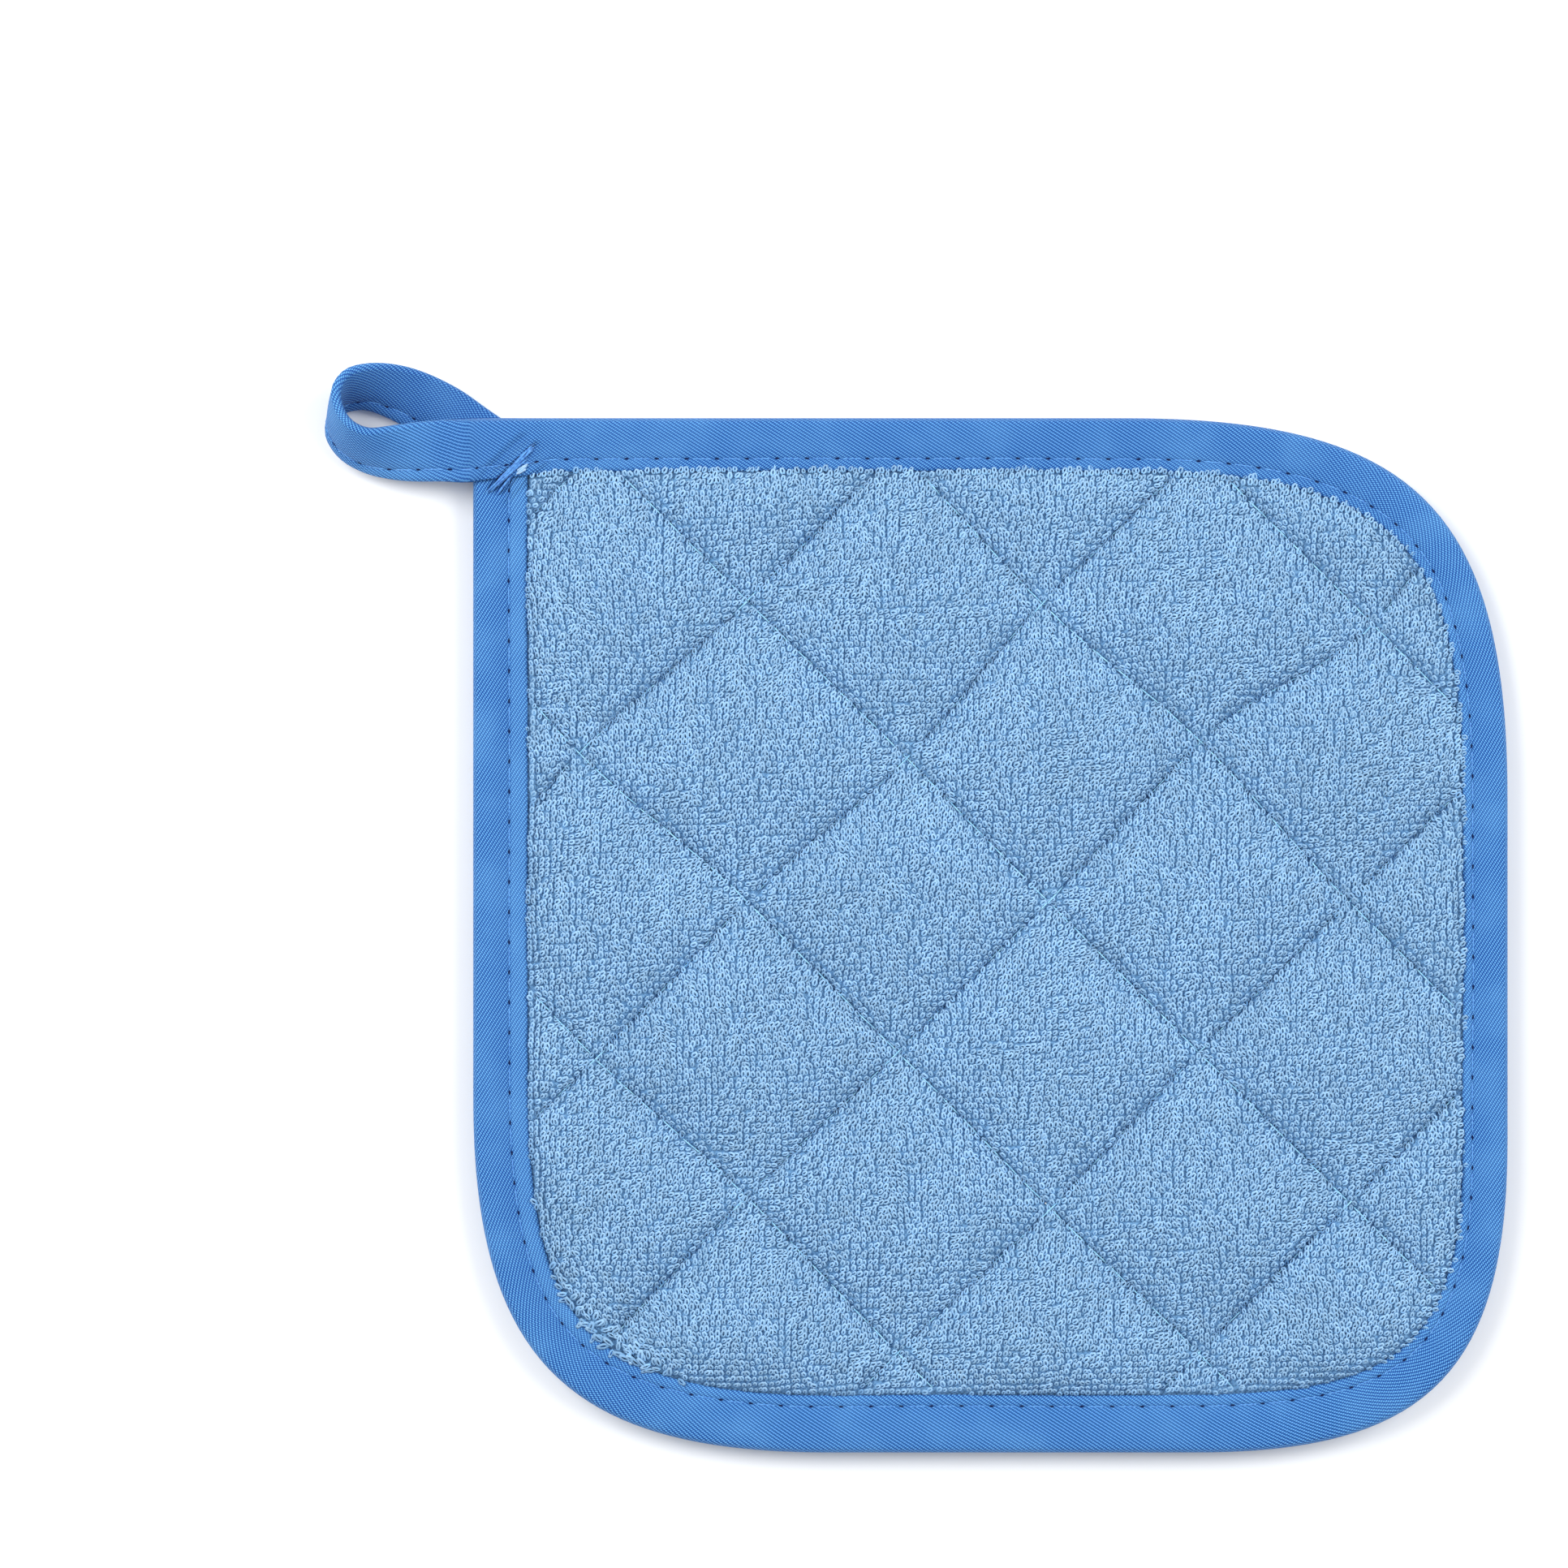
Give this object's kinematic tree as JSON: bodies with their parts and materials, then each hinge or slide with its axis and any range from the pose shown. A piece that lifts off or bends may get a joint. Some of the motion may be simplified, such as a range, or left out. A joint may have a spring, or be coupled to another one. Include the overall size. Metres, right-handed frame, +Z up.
{
  "type": "quilted pot holder",
  "caption": "Square quilted pot holder with a terry front, a silvered heat-reflecting back, a bound edge and a hanging loop at its square corner.",
  "frame": {"origin": "middle of the whole outline, loop included, on the surface that the holder lies on", "axes": "+X from the loop's end across the holder, along its longest side; +Y towards the edge beside the loop; +Z up, out of the terry face"},
  "size_m": [0.232, 0.2136, 0.0114],
  "materials": {
    "terry": "light blue looped cotton pile, matt",
    "silver_cloth": "fine weave with a satin silvered coating",
    "tape": "mid blue woven bias tape, slight sheen"
  },
  "bodies": {
    "root": {"terry_front": "terry", "silver_back": "silver_cloth", "edge_binding": "tape", "hanging_loop": "tape"}
  },
  "joints": []
}
